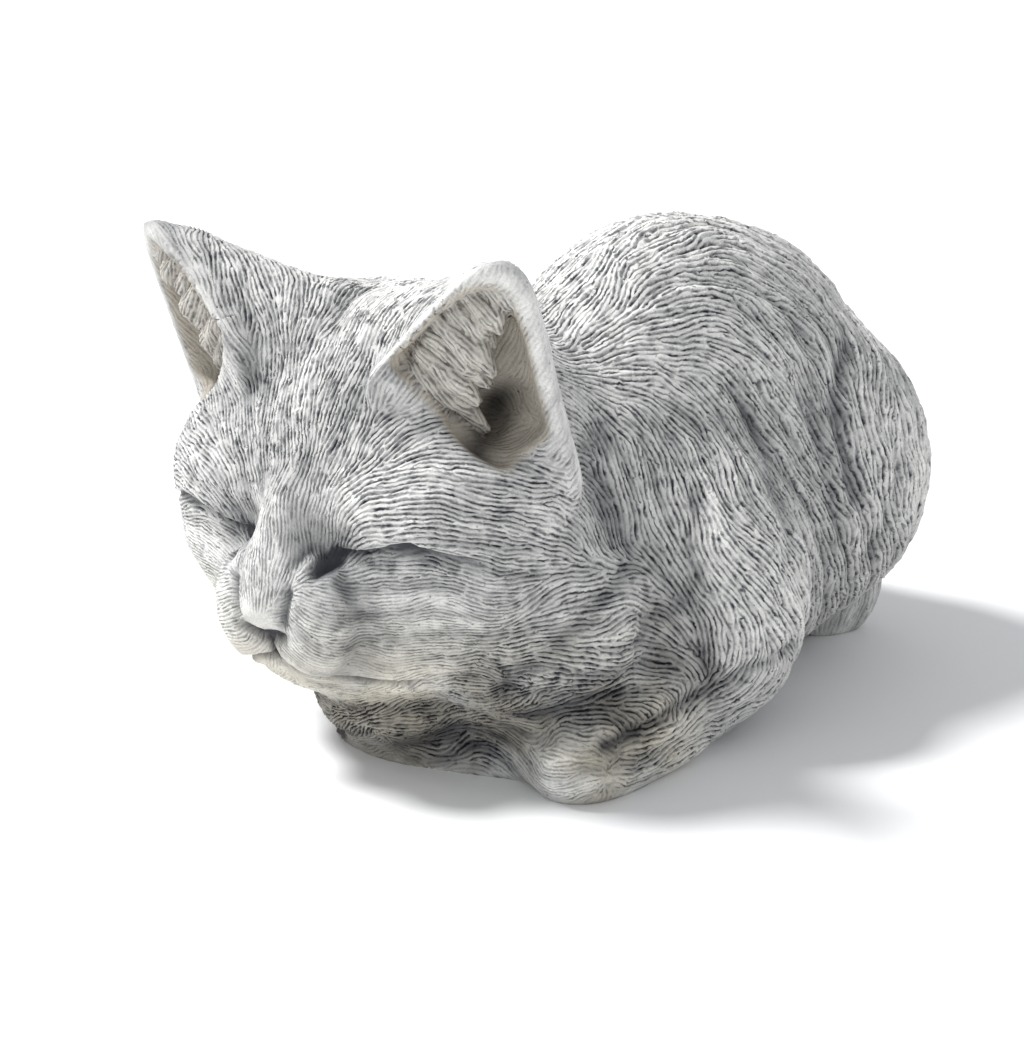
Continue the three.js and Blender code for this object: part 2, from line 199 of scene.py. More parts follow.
def ear(q):
    """Shell and hollow of the ear at points of the head: lenses over a leaf with three rounded corners."""
    side = q * [1, 1, 1]
    side[:, 0] = np.abs(side[:, 0])
    u, w, v = ((side - EAR_ORIGIN) @ EAR_AXES.T).T
    leaf = ear_leaf(u, w, EAR["swell"])
    inset = ear_leaf(u, w, np.subtract(EAR["swell"], EAR["inset"]))
    reach, depth, wall = EAR["reach"], EAR["depth"], EAR["wall"]
    shell = (np.hypot(np.maximum(1 + leaf / reach, 0), v / (depth + wall)) - 1) * reach
    inner = reach - wall
    hollow = (np.hypot(np.maximum(1 + (inset + wall) / inner, 0), v / depth) - 1) * inner
    pit = ellipsoid(np.stack([u, w, v], 1), *EAR["pit"])
    hollow = lower(hollow, pit, 4)
    for (u0, w0), (u1, w1) in EAR["sill"]:
        below = ((u - u0) * (w1 - w0) - (w - w0) * (u1 - u0)) / math.hypot(u1 - u0, w1 - w0)
        hollow = higher(hollow, below, 4)
    return higher(shell, v, 3), hollow, u, w, v


# How many locks of hair each ear has.
LOCKS = 7


def locks(u, w, v):
    """Locks of hair in the ear, each a rod that ends in a point, half across the hollow."""
    p = np.stack([u, w, v], 1)
    total = None
    for n in range(LOCKS):
        t = n / (LOCKS - 1)
        reach = (1.0, 0.84, 0.93)[n % 3]
        root = np.array([8 * t**3 + 2.5, 38 * t + 3, -6.0])
        tip = root + (np.array([32 - 14 * t, 43 * t - 7, -7 + 2.5 * (n % 2)]) - root) * reach
        middle = (root + tip) / 2 + [1, 2, 1.5]
        wide = 4.4 + 0.7 * (n % 2)
        one = np.minimum(rod(p, root, middle, 3.8, wide), rod(p, middle, tip, wide, 1.4))
        total = one if total is None else lower(total, one, 0.5)
    return total


def parts_of(p):
    """Distances to the torso, the head, the tail and, in the ear, its shell, its hollow and its locks."""
    q = in_head(p)
    side = q * [1, 1, 1]
    side[:, 0] = np.abs(side[:, 0])
    tail_gap = tail(p)
    torso = lower(joined(p, BODY), tail_gap, TAIL["blend"])
    root = rod(side, EAR_ROOT["from"], EAR_ROOT["to"], *EAR_ROOT["radii"])
    head = lower(joined(q, FACE, PAIRED), root, EAR_ROOT["blend"])
    shell, hollow, u, w, v = ear(q)
    return torso, head, tail_gap, shell, hollow, locks(u, w, v), q, v


def figure(p):
    """Distance to the whole figure: masses blended, ears hollowed, locks added, cut flat at the ground."""
    torso, head, _, shell, hollow, hair, _, _ = parts_of(p)
    whole = lower(lower(torso, head, HEAD["blend"]), shell, EAR["blend"])
    whole = lower(higher(whole, -hollow, EAR["roll"]), hair, 1.0)
    return np.maximum(whole, -p[:, 2])


def chunked(function, p, size=60000):
    return np.concatenate([function(p[i:i + size]) for i in range(0, len(p), size)])


def slope_of(p, h=0.25):
    """The field and its gradient at p, by forward differences."""
    here = chunked(figure, p)
    steps = [(chunked(figure, p + np.eye(3)[i] * h) - here) / h for i in range(3)]
    return here, np.stack(steps, 1)


def settle(p, passes, most=1.5):
    """Moves each point along the gradient g by -f g / |g|^2 until the field f is nought."""
    for _ in range(passes):
        here, g = slope_of(p)
        move = -here / np.maximum((g * g).sum(1), 0.2)
        p = p + g * np.clip(move, -most, most)[:, None]
    return p


# How far the grid is shifted, so that none of its points lies on the flat underside.
GRID_SHIFT = 0.37


def nets(step):
    """One vertex in each grid cell that the surface crosses, and two triangles round each crossed edge."""
    low, high = np.array([-124.0, -166, -6]), np.array([92.0, 150, 196])
    axes = [np.arange(low[i] + GRID_SHIFT, high[i] + step, step) for i in range(3)]
    grid = np.stack(np.meshgrid(*axes, indexing="ij"), -1)
    n = grid.shape[:3]
    value = chunked(figure, grid.reshape(-1, 3)).reshape(n)
    inside = value < 0
    cell = [m - 1 for m in n]
    corners = [(i, j, k) for i in (0, 1) for j in (0, 1) for k in (0, 1)]

    def at(a, c):
        return a[c[0]:c[0] + cell[0], c[1]:c[1] + cell[1], c[2]:c[2] + cell[2]]

    count = sum(at(inside, c).astype(int) for c in corners)
    live = (count > 0) & (count < 8)
    total, hits = np.zeros((live.sum(), 3)), np.zeros(live.sum())
    for c in corners:
        for axis in range(3):
            if c[axis]:
                continue
            d = tuple(c[i] + (i == axis) for i in range(3))
            f0, f1 = at(value, c)[live], at(value, d)[live]
            crossed = (f0 < 0) != (f1 < 0)
            t = np.where(crossed, f0 / np.where(crossed, f0 - f1, 1), 0)[:, None]
            place = at(grid, c)[live] * (1 - t) + at(grid, d)[live] * t
            total += place * crossed[:, None]
            hits += crossed
    vertices = total / hits[:, None]
    index = np.full(cell, -1)
    index[live] = np.arange(live.sum())
    faces = []
    for axis in range(3):
        b, c = (axis + 1) % 3, (axis + 2) % 3
        front, back = [slice(None)] * 3, [slice(None)] * 3
        front[axis], back[axis] = slice(0, n[axis] - 1), slice(1, n[axis])
        for other in (b, c):
            front[other] = back[other] = slice(1, n[other] - 1)
        s0, s1 = inside[tuple(front)], inside[tuple(back)]
        where = np.argwhere(s0 != s1)
        out = s0[s0 != s1]
        where[:, b] += 1
        where[:, c] += 1
        ring = []
        for db, dc in ((1, 1), (0, 1), (0, 0), (1, 0)):
            at_cell = where.copy()
            at_cell[:, b] -= db
            at_cell[:, c] -= dc
            ring.append(index[tuple(at_cell.T)])
        quad = np.stack(ring, 1)
        faces.append(np.where(out[:, None], quad, quad[:, ::-1]))
    quads = np.concatenate(faces)
    v = vertices[quads]
    short = np.linalg.norm(v[:, 0] - v[:, 2], axis=1) < np.linalg.norm(v[:, 1] - v[:, 3], axis=1)
    first = np.where(short[:, None], quads[:, [0, 1, 2]], quads[:, [0, 1, 3]])
    second = np.where(short[:, None], quads[:, [0, 2, 3]], quads[:, [1, 2, 3]])
    return vertices, np.concatenate([first, second])


def refine(vertices, faces, target, rounds):
    """Splits each edge longer than the target at its middle, and each triangle into 2, 3 or 4 with it."""
    for _ in range(rounds):
        edges = np.sort(faces[:, [0, 1, 1, 2, 2, 0]].reshape(-1, 2), axis=1)
        key, inverse = np.unique(edges[:, 0] * len(vertices) + edges[:, 1], return_inverse=True)
        a, b = key // len(vertices), key % len(vertices)
        middle = (vertices[a] + vertices[b]) / 2
        long = np.linalg.norm(vertices[a] - vertices[b], axis=1) > target(middle)
        if not long.any():
            break
        new = np.full(len(key), -1)
        new[long] = len(vertices) + np.arange(long.sum())
        vertices = np.concatenate([vertices, settle(middle[long], 1)])
        mid = new[inverse.reshape(-1, 3)]
        cut = (mid >= 0).sum(1)
        out = [faces[cut == 0]]
        for n in range(3):
            f, m = np.roll(faces, -n, 1), np.roll(mid, -n, 1)
            one = (cut == 1) & (m[:, 0] >= 0)
            x, y, z = f[one].T
            p = m[one, 0]
            out += [np.stack([x, p, z], 1), np.stack([p, y, z], 1)]
            two = (cut == 2) & (m[:, 2] < 0)
            x, y, z = f[two].T
            p, q = m[two, 0], m[two, 1]
            out += [np.stack([p, y, q], 1), np.stack([x, p, q], 1), np.stack([x, q, z], 1)]
        x, y, z = faces[cut == 3].T
        p, q, r = mid[cut == 3].T
        out += [np.stack(t, 1) for t in ((x, p, r), (p, y, q), (r, q, z), (p, q, r))]
        faces = np.concatenate(out)
    return vertices, faces


# Points lower than this, in millimetres, belong to the flat underside.
UNDERSIDE = 0.02


def edge_target(p):
    """Longest edge wanted at a point: fine on the face and the head, wide on the underside."""
    q = in_head(p)
    behind = np.clip((q[:, 1] - 85) / 25, 0, 1)
    size = 0.8 + 0.4 * behind
    size = size * 1.0
    return np.where(p[:, 2] < UNDERSIDE, 9.0, size)


def noise(p, scale, seed):
    """Smooth value noise of wavelength scale, from -1 to 1.
    The random values at the corners of a grid are blended by 3t^2 - 2t^3."""
    table = np.random.default_rng(seed).uniform(-1, 1, 4096)
    g = p / scale + 1000
    i = np.floor(g).astype(np.int64)
    t = g - i
    t = t * t * (3 - 2 * t)
    out = 0
    for c in range(8):
        o = np.array([c & 1, c >> 1 & 1, c >> 2 & 1])
        j = i + o
        value = table[(j[:, 0] * 73856093 ^ j[:, 1] * 19349663 ^ j[:, 2] * 83492791) % 4096]
        out = out + value * np.prod(np.where(o, t, 1 - t), axis=1)
    return out


def smooth(x, a, b):
    """From 0 at a to 1 at b, by 3t^2 - 2t^3."""
    t = np.clip((x - a) / (b - a), 0, 1)
    return t * t * (3 - 2 * t)


# Which way the fur lies: a place on the form and a direction, on the left side and mirrored to the right.
# The photo doesn't show the back of the head and the rump, the last rows of each list, so those are guesses.
HEAD_FUR = [
    (0, 6, 29, -1, 1, 10), (-23, 19, 30, 2, -3, 9), (1, 9, 43, -3, 2, 9), (-11, 13, 52, -4, 2, 9),
    (9, 13, 55, 0, 2, 10), (-21, 16, 58, 0, 1, 10), (19, 15, 45, 5, 1, 9), (14, 15, 65, 3, 3, 9),
    (27, 18, 61, 5, 3, 8), (-16, 19, 73, -2, 4, 9), (1, 18, 75, 1, 4, 9), (16, 23, 81, 2, 6, 8),
    (-7, 25, 86, 1, 6, 8), (6, 31, 91, -1, 7, 7), (18, 33, 92, 1, 7, 7), (-6, 39, 98, 1, 8, 6),
    (9, 43, 102, 5, 7, 5), (23, 43, 105, 8, 4, 5), (32, 26, 76, 3, 6, 7), (41, 28, 71, 6, 7, 5),
    (47, 38, 70, 1, 10, 0), (30, 17, 47, 8, 2, 6), (41, 19, 46, 8, 3, 4), (45, 24, 58, 8, 5, 3),
    (55, 28, 53, 8, 6, 1), (56, 34, 62, 7, 7, 0), (64, 41, 58, 6, 7, -2), (34, 18, 36, 9, 0, 4),
    (58, 26, 42, 8, 6, 0), (65, 33, 36, 6, 8, -3), (71, 43, 45, 5, 8, -3), (74, 60, 45, 1, 9, -3),
    (77, 61, 34, 2, 9, -4), (81, 74, 26, 4, 8, -4), (30, 21, 24, 10, 0, 1), (48, 23, 28, 9, 3, 1),
    (59, 30, 26, 7, 7, -2), (70, 44, 23, 5, 9, -2), (79, 60, 21, 5, 8, -2), (24, 11, 10, 7, 4, -5),
    (31, 18, 15, 10, 1, 0), (38, 21, 10, 10, 1, 1), (56, 25, 13, 8, 5, -1), (66, 36, 16, 4, 9, -2),
    (75, 49, 12, 7, 7, 2), (84, 61, 13, 4, 9, 2), (55, 36, -2, 9, 4, 3), (69, 42, -1, 8, 5, 4),
    (80, 49, -5, 7, 5, 5), (0, 70, 104, 0, 10, 0), (30, 70, 98, 3, 10, -2), (0, 100, 99, 0, 9, -3),
    (35, 100, 92, 2, 9, -4), (0, 118, 87, 0, 7, -6), (35, 118, 75, 1, 6, -8), (60, 90, 76, 3, 8, -6),
    (55, 105, 70, 1, 7, -7),
]
BODY_FUR = [
    (15, -31, 142, -3, 6, 7), (14, -23, 150, -3, 6, 7), (14, -15, 155, -3, 7, 7), (-1, -26, 153, -4, 7, 6),
    (1, -14, 162, -2, 8, 6), (9, -2, 166, -4, 7, 5), (23, -25, 140, 4, 9, 3), (24, -31, 135, 5, 9, 1),
    (30, -16, 137, 4, 9, 1), (22, -13, 150, 3, 9, 3), (21, 6, 161, 2, 10, 2), (29, 0, 150, 3, 9, 1),
    (26, 25, 160, 2, 10, -1), (17, 21, 168, 0, 10, 1), (29, 42, 157, 4, 7, -5), (34, 29, 150, 3, 8, -4),
    (36, 10, 143, 3, 9, -3), (38, -6, 130, 4, 9, -2), (33, -20, 129, 5, 8, -2), (30, -32, 126, 6, 6, -5),
    (40, -16, 120, 5, 6, -6), (43, 8, 125, 4, 5, -8), (42, 26, 134, 4, 5, -8), (42, 42, 138, 4, 5, -8),
    (39, 59, 144, 4, 6, -7), (51, 47, 118, 4, 3, -9), (50, 32, 116, 4, 3, -9), (52, 11, 109, 6, 0, -8),
    (46, -2, 115, 5, 3, -8), (50, -16, 104, 6, -1, -8), (45, -22, 106, 5, 0, -8), (41, -27, 112, 5, 2, -8),
    (32, -40, 118, 5, -1, -8), (38, -42, 108, 5, 0, -9), (44, -38, 96, 4, 1, -9), (51, -29, 91, 5, 0, -8),
    (59, -19, 91, 6, -1, -8), (59, -6, 98, 6, -4, -7), (67, 2, 89, 5, 2, -8), (59, 31, 92, 3, 5, -8),
    (60, 48, 93, 3, 4, -9), (57, 56, 106, 4, 1, -9), (50, 65, 125, 5, 2, -8), (56, 80, 118, 5, -5, -7),
    (60, 65, 104, 3, -2, -9), (65, 80, 101, 4, 0, -9), (64, 98, 99, 4, -3, -9), (67, 68, 79, 1, 2, -10),
    (70, 85, 76, 0, 5, -9), (68, 102, 80, 0, 3, -10), (64, 50, 72, 1, 5, -9), (67, 31, 66, -2, 7, -7),
    (75, 2, 71, 2, 5, -8), (72, -9, 78, 4, 4, -8), (58, -52, 55, -1, 10, 0), (59, -43, 52, 1, 9, -3),
    (57, -53, 45, -1, 10, -2), (55, -58, 38, -1, 10, -2), (58, -36, 42, 6, 7, -3), (59, -34, 35, 7, 7, -1),
    (54, -69, 33, 3, 9, -1), (59, -50, 31, 2, 10, 0), (57, -43, 60, 1, 10, -2), (43, -86, 31, 7, 7, 1),
    (57, -75, 26, 7, 7, 1), (38, -87, 19, 9, 4, 1), (65, -29, 61, 3, 0, -10), (67, -23, 71, 2, -2, -10),
    (73, -16, 68, 4, 2, -9), (60, -32, 69, 3, -1, -10), (70, -25, 47, 0, 0, -10), (75, -18, 53, 3, 5, -8),
    (78, -9, 54, 2, 6, -8), (67, -28, 40, 0, 2, -10), (79, -5, 43, 1, 6, -8), (74, -13, 28, -4, -8, -4),
    (69, -28, 24, -1, -10, 0), (68, -51, 23, -1, -10, 0), (71, -23, 16, 0, -10, -1),
    (69, -62, 17, -2, -10, 0), (53, -85, 10, 10, 2, 1), (0, 135, 110, 0, 2, -10), (0, 137, 60, 0, 0, -10),
    (40, 125, 80, 2, 1, -10), (20, 133, 40, 0, 0, -10),
]


def guides(rows, middle):
    """Places and unit directions of the rows, and of their mirror images about x = middle."""
    g = np.array(rows, float)
    m = g * [-1, 1, 1, -1, 1, 1]
    m[:, 0] += 2 * middle
    g = np.concatenate([g, m])
    d = g[:, 3:] / np.linalg.norm(g[:, 3:], axis=1)[:, None]
    return g[:, :3], d


HEAD_AT, HEAD_WAY = guides(HEAD_FUR, 0)
BODY_AT, BODY_WAY = guides(BODY_FUR, -5)


def led(p, at, way, width):
    """The guides' directions, each weighed by exp(-d^2 / 2 width^2) and a faint 1 / d^4 further off."""
    out = np.empty_like(p)
    for i in range(0, len(p), 20000):
        d2 = ((p[i:i + 20000, None] - at) ** 2).sum(-1)
        w = np.exp(-d2 / (2 * width**2)) + 1e-3 / (1 + (d2 / width**2) ** 2)
        out[i:i + 20000] = w @ way
    return out / np.maximum(np.linalg.norm(out, axis=1), 1e-9)[:, None]


def fur_way(p, normal, wave):
    """The lie of the fur at surface points, in the tangent plane, a little wavy."""
    torso, head, tail_gap, _, _, hair, q, _ = parts_of(p)
    on_head = smooth(torso - head, -6, 6)[:, None]
    way = led(p, BODY_AT, BODY_WAY, 11) * (1 - on_head)
    way += from_head(led(q, HEAD_AT, HEAD_WAY, 8), point=False) * on_head
    along = np.diff(TAIL_POINTS, axis=0)
    middle = (TAIL_POINTS[1:] + TAIL_POINTS[:-1]) / 2
    nearest = ((p[:, None] - middle) ** 2).sum(-1).argmin(1)
    on_tail = (smooth(tail_gap, 4, 1) * (1 - on_head[:, 0]))[:, None]
    way = way * (1 - on_tail) + along[nearest] / 10 * on_tail
    side = np.where(q[:, :1] < 0, -1.0, 1.0) * [1, 0, 0] + [0, 1, 1]
    up, across = (from_head(axis * side, point=False) for axis in EAR_AXES[1::-1])
    on_ear = (smooth(head, 1.5, 5) * on_head[:, 0])[:, None]
    in_locks = smooth(np.abs(hair), 1.5, 0.3)[:, None]
    way = way * (1 - on_ear) + up * on_ear
    way = way * (1 - in_locks) + (across - 0.35 * up) * in_locks
    way -= normal * (way * normal).sum(1)[:, None]
    way /= np.maximum(np.linalg.norm(way, axis=1), 1e-6)[:, None]
    ruffled = 1 + 1.2 * smooth(p[:, 1], -48, -70) * smooth(p[:, 2], 50, 38)
    turn = wave * (1.1 * noise(p, 12.0, 3) + 0.7 * noise(p, 3.2, 4)) * ruffled
    across = np.cross(normal, way)
    return way * np.cos(turn)[:, None] + across * np.sin(turn)[:, None]


def regions(p, normal):
    """Share of each region at surface points, from 0 to 1, and the points in the head's frame as q."""
    torso, head, _, _, hollow, hair, q, v = parts_of(p)
    on_head = smooth(torso - head, -4, 4)
    in_ear = smooth(np.abs(hollow), 2.5, 0.8) * smooth(hair, 0.3, 1.0)
    in_locks = smooth(np.abs(hair), 0.6, 0.2)
    x, y, z = np.abs(q[:, 0]), q[:, 1], q[:, 2]
    ear_u, ear_w, _ = ((np.stack([x, y, z], 1) - EAR_ORIGIN) @ EAR_AXES.T).T
    ear_back = smooth(head, 1.0, 4.0) * on_head * (1 - in_ear) * (1 - in_locks)
    rim = ear_back * smooth(np.abs(v), 7, 3) * smooth(ear_w, -4, 8)
    bridge = smooth(x, 9, 6) * smooth(z, -3, 0) * smooth(z, 13, 7) * smooth(y, 22, 14) * on_head
    lips = smooth(z, -4, -8) * smooth(z, -22, -18) * smooth(x, 38, 28) * smooth(y, 48, 38) * on_head
    paw_left = smooth(p[:, 1], -58, -72) * smooth(p[:, 0], 24, 34) * smooth(p[:, 2], 30, 22) * (1 - on_head)
    paw_right = smooth(p[:, 1], -92, -100) * smooth(p[:, 0], 5, -5) * smooth(p[:, 2], 16, 9) * (1 - on_head)
    foot = smooth(p[:, 1], 84, 92) * smooth(p[:, 2], 34, 26) * smooth(p[:, 0], 8, 16)
    low = smooth(p[:, 2], 5, 2)
    muzzle = face_middle(q) * on_head
    # The chest under the chin; the colour there is painted darker as shade.
    under_chin = smooth(p[:, 1], -45, -65) * smooth(p[:, 2], 58, 40) * smooth(p[:, 2], 4, 12) * (1 - on_head)
    deep = np.exp(-(((ear_u - 32) / 7) ** 2) - ((ear_w + 4) / 12) ** 2) * in_ear
    under = smooth(normal[:, 2], -0.6, -0.9) * smooth(p[:, 2], 3, 0.5)
    bare = np.max([bridge, 0.6 * lips, 0.5 * paw_left, 0.5 * paw_right, 0.6 * foot, 0.8 * low], axis=0)
    return {"head": on_head, "in_ear": in_ear, "locks": in_locks, "ear_back": ear_back, "rim": rim,
            "paws": np.maximum(paw_left, paw_right), "under": under, "bare": bare, "muzzle": muzzle,
            "under_chin": under_chin * (1 - paw_left), "deep": deep, "q": q}


def cell_pairs(points, queries, size):
    """Pairs (query, point) whose cells of that size touch, one neighbouring cell at a time."""
    low = np.minimum(points.min(0), queries.min(0)) - 2 * size
    span = ((np.maximum(points.max(0), queries.max(0)) - low) / size).astype(np.int64) + 4

    def key(p, shift):
        c = ((p - low) / size).astype(np.int64) + shift
        return (c[:, 0] * span[1] + c[:, 1]) * span[2] + c[:, 2]

    keys = key(points, 0)
    order = np.argsort(keys, kind="stable")
    ordered = keys[order]
    for n in range(27):
        wanted = key(queries, np.array([n // 9 - 1, n // 3 % 3 - 1, n % 3 - 1]))
        first = np.searchsorted(ordered, wanted)
        number = np.searchsorted(ordered, wanted, "right") - first
        if number.sum():
            query = np.repeat(np.arange(len(queries)), number)
            offset = np.arange(len(query)) - np.repeat(np.cumsum(number) - number, number)
            yield query, order[np.repeat(first, number) + offset]


def scattered(vertices, faces, count):
    """Random points of the mesh, spread by area."""
    a, b, c = (vertices[faces[:, i]] for i in range(3))
    area = np.linalg.norm(np.cross(b - a, c - a), axis=1)
    pick = RNG.choice(len(faces), count, p=area / area.sum())
    s, t = np.sqrt(RNG.random(count))[:, None], RNG.random(count)[:, None]
    return a[pick] * (1 - s) + b[pick] * (s * (1 - t)) + c[pick] * (s * t)


# The least and the most that a wave's number is multiplied by, drawn at random, and the area in square
# millimetres that the count of the waves is worked out for.
NUMBER_RANGE = (0.8, 1.22)
SKIN = 150000


class Fur:
    """Waves that lie along the fur, so that their crests are its strands.
    Small waves with their own places c, wave vectors k and phases f are summed as w exp(i (f + k (p - c))),
    with w = exp(-|p - c|^2 / 2 s^2). Each phase is first drawn to those of its neighbours, so that the
    crests run on."""

    def __init__(self, vertices, faces, pitch, spread, wave, rounds):
        count = SKIN / (0.85 * spread) ** 2
        self.at = scattered(vertices, faces, int(count))
        normal = normals_at(self.at)
        way = fur_way(self.at, normal, wave)
        self.spread = spread
        self.normal = normal
        number = 2 * np.pi / pitch(self.at) * RNG.uniform(*NUMBER_RANGE, len(way))
        self.k = np.cross(normal, way) * number[:, None]
        self.phase = RNG.uniform(0, 2 * np.pi, len(self.at))
        i, j, w = (np.concatenate(part) for part in zip(*self.near(self.at, normal)))
        off = self.at[i] - self.at[j]
        turn = ((self.k[i] + self.k[j]) / 2 * off).sum(1)
        for _ in range(rounds):
            angle = self.phase[j] + turn
            re = np.bincount(i, w * np.cos(angle), len(self.at))
            im = np.bincount(i, w * np.sin(angle), len(self.at))
            self.phase = np.arctan2(im, re)

    def near(self, p, normal):
        """The waves near each point on the same side of the form, with their weights."""
        reach = 2.1 * self.spread
        for i, j in cell_pairs(self.at, p, reach):
            d2 = ((p[i] - self.at[j]) ** 2).sum(1)
            facing = (normal[i] * self.normal[j]).sum(1)
            keep = (d2 < reach * reach) & (facing > 0.15)
            i, j = i[keep], j[keep]
            yield i, j, np.exp(-d2[keep] / (2 * self.spread**2)) * facing[keep]

    def at_points(self, p, normal):
        """The phase of the fur at each point, its mean wave vector, and how well its waves agree, 0 to 1."""
        sums = np.zeros((6, len(p)))
        for start in range(0, len(p), 60000):
            part = slice(start, start + 60000)
            for i, j, w in self.near(p[part], normal[part]):
                angle = self.phase[j] + (self.k[j] * (p[part][i] - self.at[j])).sum(1)
                rows = (w * np.cos(angle), w * np.sin(angle), w, *(w * self.k[j, n] for n in range(3)))
                for n, row in enumerate(rows):
                    sums[n, part] += np.bincount(i, row, len(p[part]))
        re, im, total = sums[:3]
        total = np.maximum(total, 1e-9)
        return np.arctan2(im, re), (sums[3:] / total).T, np.hypot(re, im) / total


def face_middle(q):
    """The muzzle and the bridge of the nose, in the head's frame."""
    x, y, z = np.abs(q[:, 0]), q[:, 1], q[:, 2]
    muzzle = smooth(y, 62, 22) * smooth(z, 34, 14)
    return np.maximum(muzzle, smooth(x, 24, 12) * smooth(y, 50, 34) * smooth(z, 58, 38))


def strand_pitch(p):
    """Spacing of the strands: fine on the middle of the face, coarser on the back and the haunch."""
    q = in_head(p)
    return 1.6 - 0.35 * face_middle(q) + 0.25 * smooth(p[:, 1], -95, -60) + 0.4 * smooth(p[:, 1], -40, 90)


def clump_pitch(p):
    """Spacing of the clumps of strands."""
    return 2.7 * strand_pitch(p)


def lock_pitch(p):
    """Spacing of the broad locks."""
    return 9.0 + 2.5 * smooth(p[:, 1], -60, 40)


def crest(phase, power=1.6):
    """Height across a strand, 1 - |f / pi|^power: a round crest between sharp gaps."""
    return 1 - np.abs(np.angle(np.exp(1j * phase)) / np.pi) ** power


def bump(x, at, width):
    """1 at x = at, falling off as exp(-((x - at) / width)^2)."""
    return np.exp(-(((x - at) / width) ** 2))


# Creases on the left side, each a line on the form with its width and depth.
CREASES = {
    "flank": ([(44, 15, 124), (50, 18, 110), (63, 14, 93), (74, 10, 73)], 5.0, 1.3),
    "haunch": ([(50, 74, 128), (56, 61, 114), (61, 58, 99), (67, 61, 76)], 4.0, 2.4),
    "belly": ([(43, 53, 137), (53, 49, 114), (62, 50, 89), (65, 54, 62)], 6.0, 1.2),
    "neck": ([(33, -43, 116), (36, -54, 110), (41, -49, 95), (48, -45, 80)], 6.0, 1.8),
    "cheek": ([(50, -46, 74), (56, -67, 67), (53, -82, 58), (37, -94, 39)], 3.5, 1.7),
    "elbow": ([(57, -19, 92), (61, -28, 73), (66, -28, 53), (69, -23, 31)], 4.0, 1.4),
    "shoulder": ([(57, -48, 49), (63, -30, 60), (64, -26, 70)], 5.0, 1.6),
    "rump": ([(71, 86, 89), (71, 79, 65), (66, 74, 49)], 4.0, 1.4),
    "forearm": ([(79, 8, 37), (76, -12, 34), (68, -24, 27), (67, -54, 24), (65, -73, 22)], 2.6, 1.9),
    "toe": ([(57, -86, 7), (63, -81, 15), (69, -60, 10)], 1.6, 0.7),
    "crown": ([(-42, -108, 159), (-40, -116, 147), (-34, -126, 129)], 3.0, 0.4),
    "brow": ([(-33, -96, 160), (-21, -113, 146), (-15, -121, 132)], 3.0, 0.5),
}


def creases(p):
    """Depth of the creases at each point, on the left side and mirrored to the right."""
    depth = np.zeros(len(p))
    mirrored = p * [-1, 1, 1] + [-10, 0, 0]
    for line, width, deep in CREASES.values():
        for side, share in ((p, 1.0), (mirrored, 0.8)):
            gap = np.min([rod(side, a, b, 0, 0) for a, b in zip(line, line[1:])], axis=0)
            depth = np.maximum(depth, share * deep * bump(gap, 0, width))
    return depth


# Lines of the face in the head's frame: the closed lid, the line of the mouth, and the creases beside the
# nose, from the eye round the muzzle, and between the locks in the ear and the fur of the head.
LID = np.array([
    (14, 27.0), (21, 27.2), (28, 28.4), (35, 30.6), (42, 33.2), (48, 34.4), (55, 32.6), (63, 30), (72, 26),
])
MOUTH = np.array([(0, -10.0), (6, -11.4), (13, -14.0), (20, -16.8), (30, -18), (46, -17.6)])
FACE_LINES = [
    ([(11.6, 4.5, 16.5), (10.8, 3.3, 11.5), (9.6, 2.8, 5.5)], 1.5, 2.2),
    ([(24, 14, 19), (25, 15, 16.1), (28.5, 18.5, 8.9), (35.5, 23, 3.1), (40.1, 26.7, -3)], 1.8, 0.6),
    ([(36, 31, 89), (40, 42, 76), (56, 43, 65), (64, 47, 60)], 2.8, 2.6),
]


def face_cut(q, on_head):
    """Depth carved into the face: the closed eyes, the nostrils, the creases and the mouth."""
    x, y, z = np.abs(q[:, 0]), q[:, 1], q[:, 2]
    front = smooth(y, 62, 52) * on_head
    lid = np.interp(x, *LID.T)
    slit = 2.0 * bump(z, lid, 1.0) * smooth(x, 14, 18) * smooth(x, 72, 62)
    slit += 4.4 * bump(z, lid - 2.8, 3.2) * bump(x, 18.4, 2.3)
    slit += 3.8 * bump(z, lid - 1.3, 2.2) * bump(x, 46.5, 6.0)
    slit -= 1.1 * bump(z, lid + 2.8, 1.7) * smooth(x, 17, 24) * smooth(x, 66, 54)
    slit += 1.5 * bump(z, 26.5, 3.4) * bump(x, 12, 1.5)
    nose = 5.0 * bump(x, 4.6, 4.4) * bump(z, 0.2 * x - 1.2, 1.9)
    nose += 1.7 * bump(x, 0, 1.0) * smooth(z, -12.5, -10) * smooth(z, 1, -1)
    mouth = 2.6 * bump(z, np.interp(x, *MOUTH.T), 1.1) * smooth(x, 46, 38)
    side = np.stack([x, y, z], 1)
    depth = (slit + nose + mouth) * front
    for line, width, deep in FACE_LINES:
        gap = np.min([rod(side, a, b, 0, 0) for a, b in zip(line, line[1:])], axis=0)
        depth += deep * bump(gap, 0, width) * on_head
    return depth


